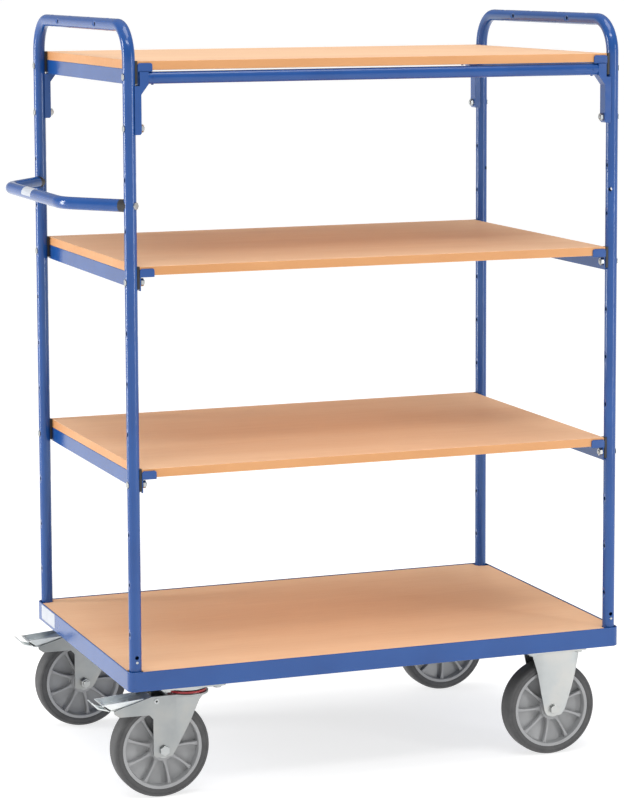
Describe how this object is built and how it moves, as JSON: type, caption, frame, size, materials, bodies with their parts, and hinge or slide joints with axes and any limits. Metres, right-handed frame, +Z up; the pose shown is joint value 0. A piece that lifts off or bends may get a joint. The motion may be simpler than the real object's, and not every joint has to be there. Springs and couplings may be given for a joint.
{
  "type": "shelf trolley",
  "caption": "Tall shelf trolley: steel deck frame with wooden decks on bent-tube end frames, push handle at one end, braked swivel casters and fixed casters.",
  "frame": {"origin": "on the floor under the middle of the whole trolley's bounding box, push handle included", "axes": "+X along the deck away from the push handle, +Y across the deck, +Z up"},
  "size_m": [1.1716, 0.7, 1.5555],
  "materials": {
    "blue_paint": "powder coat, semi-gloss blue",
    "beech_board": "laminated beech decor, satin",
    "zinc_steel": "bright zinc plating",
    "tyre_rubber": "solid elastic rubber, dark grey",
    "rim_grey": "moulded silver-grey polyamide",
    "black_plastic": "moulded black plastic",
    "seal_red": "red seal ring",
    "bearing_steel": "hardened steel"
  },
  "bodies": {
    "truck_frame": {"bracket_bolts": "zinc_steel", "caster_beam_left": "blue_paint", "caster_beam_right": "blue_paint", "caster_bolts": "zinc_steel", "corner_plates": "blue_paint", "deck_board": "beech_board", "deck_frame": "blue_paint", "end_frame_left": "blue_paint", "end_frame_right": "blue_paint", "fixed_axle_back": "zinc_steel", "fixed_axle_front": "zinc_steel", "fixed_fork_back": "zinc_steel", "fixed_fork_front": "zinc_steel", "handle_bolts": "zinc_steel", "handle_spacers": "black_plastic", "kingpin_back": "zinc_steel", "kingpin_front": "zinc_steel", "lock_screws": "zinc_steel", "lower_shelf_angle_left": "blue_paint", "lower_shelf_angle_right": "blue_paint", "lower_shelf_board": "beech_board", "middle_shelf_angle_left": "blue_paint", "middle_shelf_angle_right": "blue_paint", "middle_shelf_board": "beech_board", "push_handle": "blue_paint", "rail_brackets": "blue_paint", "rail_rivets": "blue_paint", "shelf_bolts": "zinc_steel", "shelf_spacers": "black_plastic", "swivel_head_back": "zinc_steel", "swivel_head_front": "zinc_steel", "top_rail_back": "blue_paint", "top_rail_front": "blue_paint", "top_shelf_angle_left": "blue_paint", "top_shelf_angle_right": "blue_paint", "top_shelf_board": "beech_board"},
    "swivel_fork_front": {"swivel_fork_front": "zinc_steel", "swivel_seal_front": "seal_red", "swivel_balls_front": "bearing_steel", "brake_rivets_front": "zinc_steel", "swivel_axle_front": "zinc_steel"},
    "swivel_wheel_front": {"swivel_tyre_front": "tyre_rubber", "swivel_rim_front": "rim_grey", "swivel_bearing_front": "bearing_steel"},
    "brake_pedal_front": {"brake_pedal_front": "zinc_steel"},
    "fixed_wheel_front": {"fixed_tyre_front": "tyre_rubber", "fixed_rim_front": "rim_grey", "fixed_bearing_front": "bearing_steel"},
    "swivel_fork_back": {"swivel_fork_back": "zinc_steel", "swivel_seal_back": "seal_red", "swivel_balls_back": "bearing_steel", "brake_rivets_back": "zinc_steel", "swivel_axle_back": "zinc_steel"},
    "swivel_wheel_back": {"swivel_tyre_back": "tyre_rubber", "swivel_rim_back": "rim_grey", "swivel_bearing_back": "bearing_steel"},
    "brake_pedal_back": {"brake_pedal_back": "zinc_steel"},
    "fixed_wheel_back": {"fixed_tyre_back": "tyre_rubber", "fixed_rim_back": "rim_grey", "fixed_bearing_back": "bearing_steel"}
  },
  "joints": [
    {"name": "swivel_front", "type": "hinge", "parent": "truck_frame", "child": "swivel_fork_front", "pos_m": [-0.35173, -0.288, 0.211], "axis": [0, 0, 1], "continuous": true},
    {"name": "swivel_wheel_front_spin", "type": "hinge", "parent": "swivel_fork_front", "child": "swivel_wheel_front", "pos_m": [-0.40973, -0.288, 0.1], "axis": [0, 1, 0], "continuous": true},
    {"name": "brake_front", "type": "hinge", "parent": "swivel_fork_front", "child": "brake_pedal_front", "pos_m": [-0.42473, -0.288, 0.201], "axis": [0, -1, 0], "range_deg": [0, 8]},
    {"name": "fixed_wheel_front_spin", "type": "hinge", "parent": "truck_frame", "child": "fixed_wheel_front", "pos_m": [0.44827, -0.288, 0.1], "axis": [0, 1, 0], "continuous": true},
    {"name": "swivel_back", "type": "hinge", "parent": "truck_frame", "child": "swivel_fork_back", "pos_m": [-0.35173, 0.288, 0.211], "axis": [0, 0, 1], "continuous": true},
    {"name": "swivel_wheel_back_spin", "type": "hinge", "parent": "swivel_fork_back", "child": "swivel_wheel_back", "pos_m": [-0.40973, 0.288, 0.1], "axis": [0, 1, 0], "continuous": true},
    {"name": "brake_back", "type": "hinge", "parent": "swivel_fork_back", "child": "brake_pedal_back", "pos_m": [-0.42473, 0.288, 0.201], "axis": [0, -1, 0], "range_deg": [0, 8]},
    {"name": "fixed_wheel_back_spin", "type": "hinge", "parent": "truck_frame", "child": "fixed_wheel_back", "pos_m": [0.44827, 0.288, 0.1], "axis": [0, 1, 0], "continuous": true}
  ]
}
